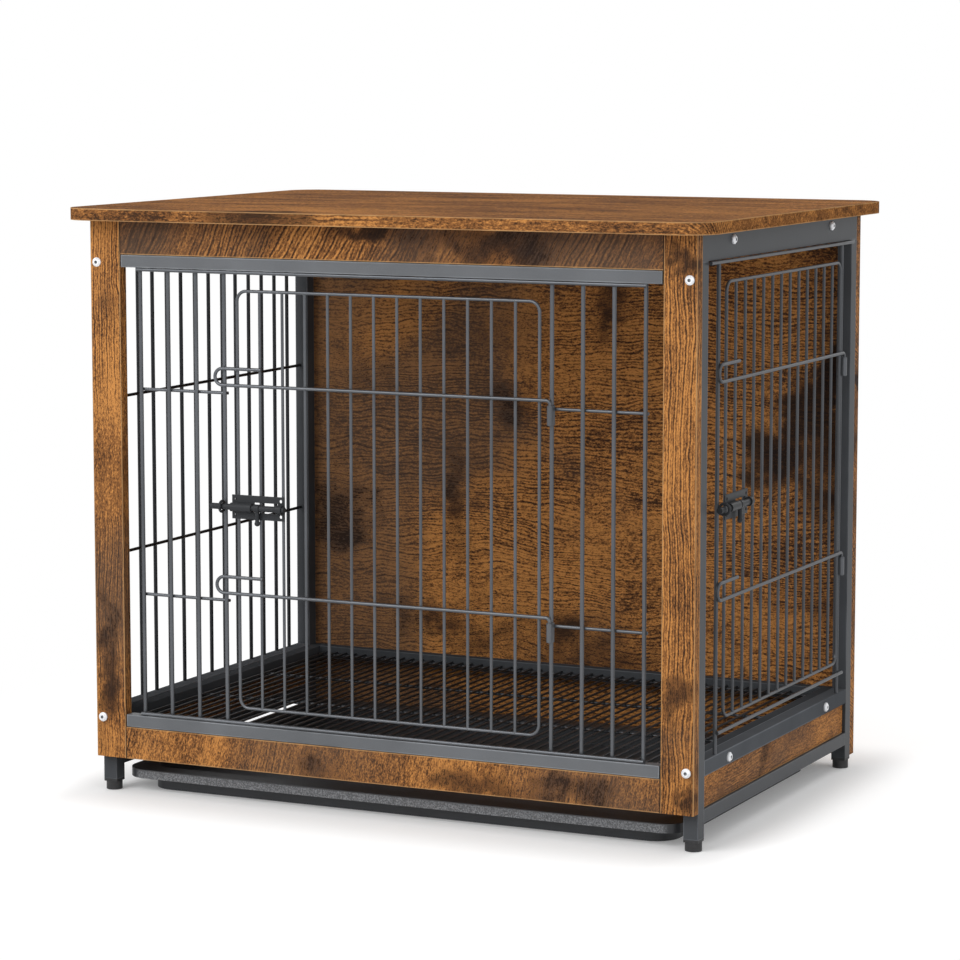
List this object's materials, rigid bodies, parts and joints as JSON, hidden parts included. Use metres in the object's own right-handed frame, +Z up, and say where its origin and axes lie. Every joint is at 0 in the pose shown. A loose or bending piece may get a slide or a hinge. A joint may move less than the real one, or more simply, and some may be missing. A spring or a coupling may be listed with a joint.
{
  "type": "pet crate",
  "caption": "Wood-and-wire pet crate that doubles as a side table, with a hinged front door, a hinged side door, sliding latches, a wire floor and a pull-out tray.",
  "frame": {"origin": "on the floor, under the middle of the tabletop", "axes": "+X to the right of someone facing the front door, -Y to the front, +Z up"},
  "size_m": [0.69, 0.51, 0.593],
  "materials": {
    "wood": "rustic laminate, satin",
    "dowel_wood": "raw beech",
    "coated_steel": "satin powder coat",
    "wire": "satin powder coat",
    "latch_steel": "satin powder coat",
    "zinc_steel": "zinc plated",
    "tray_plastic": "matte",
    "foot_plastic": "matte"
  },
  "bodies": {
    "frame": {"back_bolts": "zinc_steel", "back_panel": "wood", "feet": "foot_plastic", "floor_grid": "wire", "floor_rail_front": "coated_steel", "floor_rail_left": "coated_steel", "floor_rail_rear": "coated_steel", "floor_rail_right": "coated_steel", "frame_nuts": "zinc_steel", "front_bolts": "zinc_steel", "front_dowels": "dowel_wood", "front_grille_left": "wire", "front_grille_right": "wire", "front_hinge_sleeves": "latch_steel", "front_latch_catch": "latch_steel", "front_long_wires": "wire", "front_rail_bottom": "wood", "front_rail_top": "wood", "front_stile_left": "wood", "front_stile_right": "wood", "front_tube_bottom": "coated_steel", "front_tube_screws": "zinc_steel", "front_tube_top": "coated_steel", "left_grille": "wire", "post_front_left": "coated_steel", "post_front_right": "coated_steel", "post_rear_left": "coated_steel", "post_rear_right": "coated_steel", "side_board_left": "wood", "side_board_right": "wood", "side_board_screws": "zinc_steel", "side_hinge_sleeves": "latch_steel", "side_jamb_wires": "wire", "side_latch_catch": "latch_steel", "side_long_wires": "wire", "side_low_bolts": "zinc_steel", "side_rail_low_left": "coated_steel", "side_rail_low_right": "coated_steel", "side_rail_middle_left": "coated_steel", "side_rail_middle_right": "coated_steel", "side_rail_top_left": "coated_steel", "side_rail_top_right": "coated_steel", "side_top_bolts": "zinc_steel", "tabletop": "wood", "tabletop_brackets": "coated_steel", "tabletop_screws": "zinc_steel"},
    "front_door": {"front_door": "wire", "front_latch_plate": "latch_steel"},
    "front_latch": {"front_latch_bolt": "latch_steel"},
    "side_door": {"side_door": "wire", "side_latch_plate": "latch_steel"},
    "side_latch": {"side_latch_bolt": "latch_steel"},
    "tray": {"tray": "tray_plastic"}
  },
  "joints": [
    {"name": "front_door_hinge", "type": "hinge", "parent": "frame", "child": "front_door", "pos_m": [0.17666, -0.22505, 0.3], "axis": [0, 0, 1], "range_deg": [0, 165]},
    {"name": "front_latch_slide", "type": "slide", "parent": "front_door", "child": "front_latch", "axis": [1, 0, 0], "range_m": [0, 0.018]},
    {"name": "side_door_hinge", "type": "hinge", "parent": "frame", "child": "side_door", "pos_m": [0.32755, 0.175, 0.33], "axis": [0, 0, 1], "range_deg": [0, 165]},
    {"name": "side_latch_slide", "type": "slide", "parent": "side_door", "child": "side_latch", "axis": [0, 1, 0], "range_m": [0, 0.018]},
    {"name": "tray_slide", "type": "slide", "parent": "frame", "child": "tray", "axis": [0, -1, 0], "range_m": [0, 0.4]}
  ]
}
